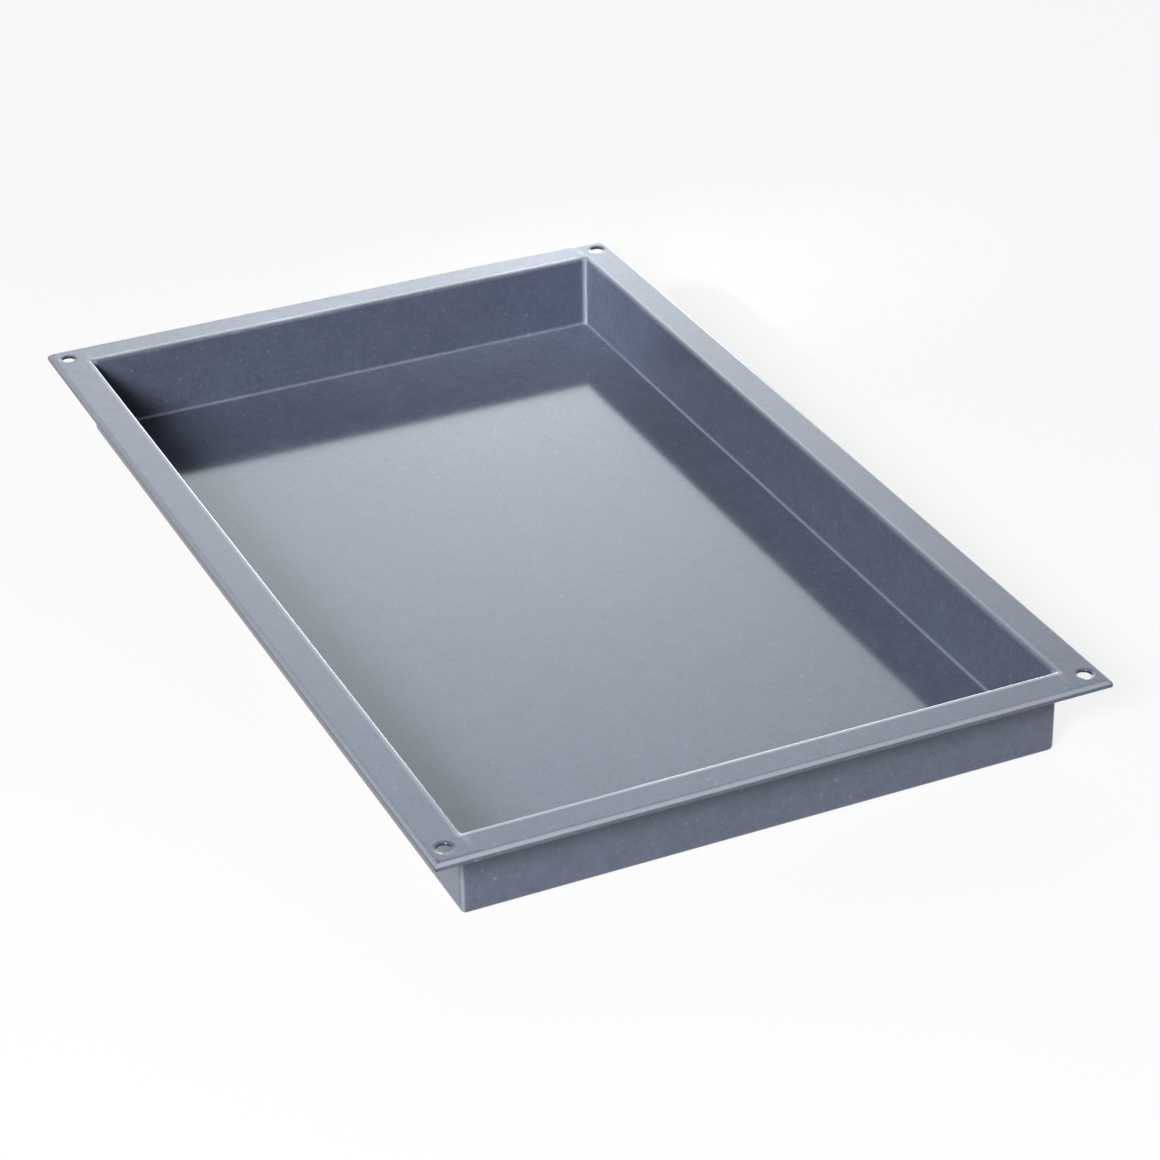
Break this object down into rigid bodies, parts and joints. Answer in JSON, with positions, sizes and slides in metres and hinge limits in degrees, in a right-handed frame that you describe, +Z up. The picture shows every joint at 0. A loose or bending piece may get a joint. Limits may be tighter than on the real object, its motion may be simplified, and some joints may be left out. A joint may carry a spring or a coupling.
{
  "type": "enamelled gastronorm pan",
  "caption": "Shallow rectangular enamelled steel pan with upright walls, a flat outward flange with a turned-down lip all round, and a hanging hole in each flange corner.",
  "frame": {"origin": "on the underside, in the middle of the base", "axes": "+Z up out of the pan, Y along its length, X across its width"},
  "size_m": [0.325, 0.53, 0.0416],
  "materials": {
    "steel": "cold-rolled, pickled",
    "weld": "ground flush",
    "ground_coat": "dark fired glass, matt under the cover coat",
    "enamel": "glossy slate blue-grey glass with fine pale specks"
  },
  "bodies": {
    "root": {"steel_blank": "steel", "corner_weld_front_left": "weld", "corner_weld_front_right": "weld", "corner_weld_back_left": "weld", "corner_weld_back_right": "weld", "flange_weld_front_left": "weld", "flange_weld_front_right": "weld", "flange_weld_back_left": "weld", "flange_weld_back_right": "weld", "lip_weld_front_left": "weld", "lip_weld_front_right": "weld", "lip_weld_back_left": "weld", "lip_weld_back_right": "weld", "inside_ground_coat": "ground_coat", "outside_ground_coat": "ground_coat", "inside_enamel": "enamel", "outside_enamel": "enamel", "base_enamel": "enamel"}
  },
  "joints": []
}
